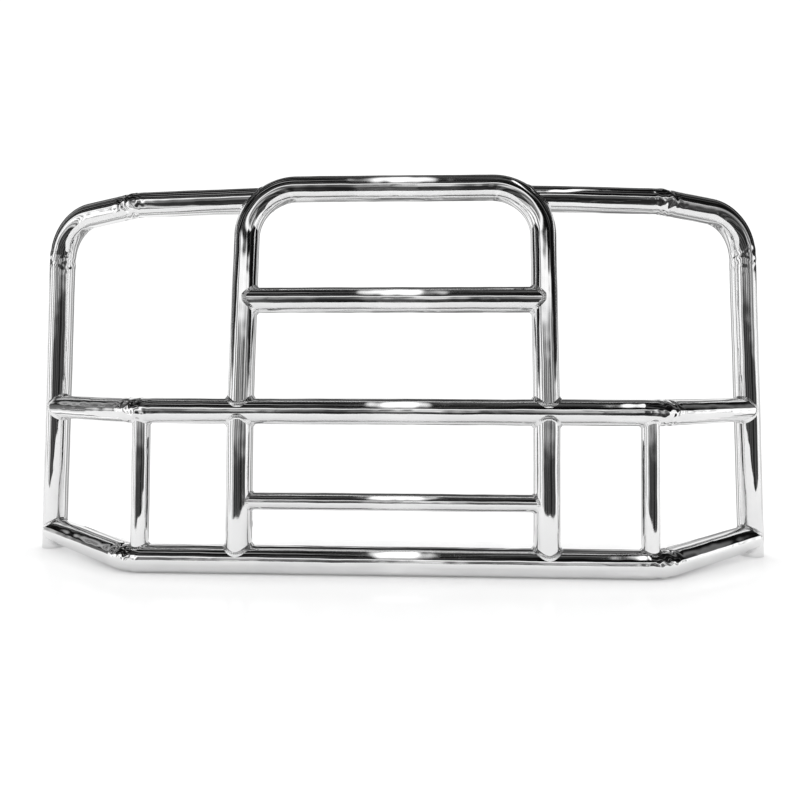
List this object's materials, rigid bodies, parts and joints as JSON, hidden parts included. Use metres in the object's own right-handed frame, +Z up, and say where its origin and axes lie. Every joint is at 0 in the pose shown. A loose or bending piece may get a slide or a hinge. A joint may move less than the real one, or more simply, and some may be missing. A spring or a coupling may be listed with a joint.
{
  "type": "front grille guard",
  "caption": "Welded polished tube grille guard for a heavy truck, with a raised centre hoop, swept-back wings and tilting frame brackets behind the legs.",
  "frame": {"origin": "centre of the bounding box's underside, on the floor that the guard stands on", "axes": "+X to the right seen from in front, +Y from the front of the guard back towards the truck, +Z up"},
  "size_m": [2.4428, 0.3788, 1.1961],
  "materials": {
    "polished_tube": "mirror-polished stainless tube",
    "guard_plate": "satin stainless plate",
    "bracket_coat": "satin black powder coat on steel plate",
    "zinc_hardware": "bright zinc-plated steel"
  },
  "bodies": {
    "guard": {"centre_hoop": "polished_tube", "mid_rail": "polished_tube", "bottom_rail": "polished_tube", "upper_crossbar": "polished_tube", "lower_crossbar": "polished_tube", "left_lower_leg": "polished_tube", "right_lower_leg": "polished_tube", "left_wing_tube": "polished_tube", "right_wing_tube": "polished_tube", "left_wing_stub": "polished_tube", "right_wing_stub": "polished_tube", "left_foot_cap": "polished_tube", "right_foot_cap": "polished_tube", "left_guard_plate": "guard_plate", "right_guard_plate": "guard_plate", "pivot_bolts": "zinc_hardware", "pivot_nuts": "zinc_hardware", "pivot_washers": "zinc_hardware", "lock_bolts": "zinc_hardware", "lock_nuts": "zinc_hardware", "lock_washers": "zinc_hardware"},
    "left_bracket": {"left_frame_bracket": "bracket_coat"},
    "right_bracket": {"right_frame_bracket": "bracket_coat"}
  },
  "joints": [
    {"name": "left_bracket_tilt", "type": "hinge", "parent": "guard", "child": "left_bracket", "pos_m": [-0.479, -0.03189, 0.12], "axis": [-1, 0, 0], "range_deg": [0, 90]},
    {"name": "right_bracket_tilt", "type": "hinge", "parent": "guard", "child": "right_bracket", "pos_m": [0.479, -0.03189, 0.12], "axis": [-1, 0, 0], "range_deg": [0, 90]}
  ],
  "couplings": [
    {"joint": "right_bracket_tilt", "follows": "left_bracket_tilt", "ratio": 1}
  ]
}
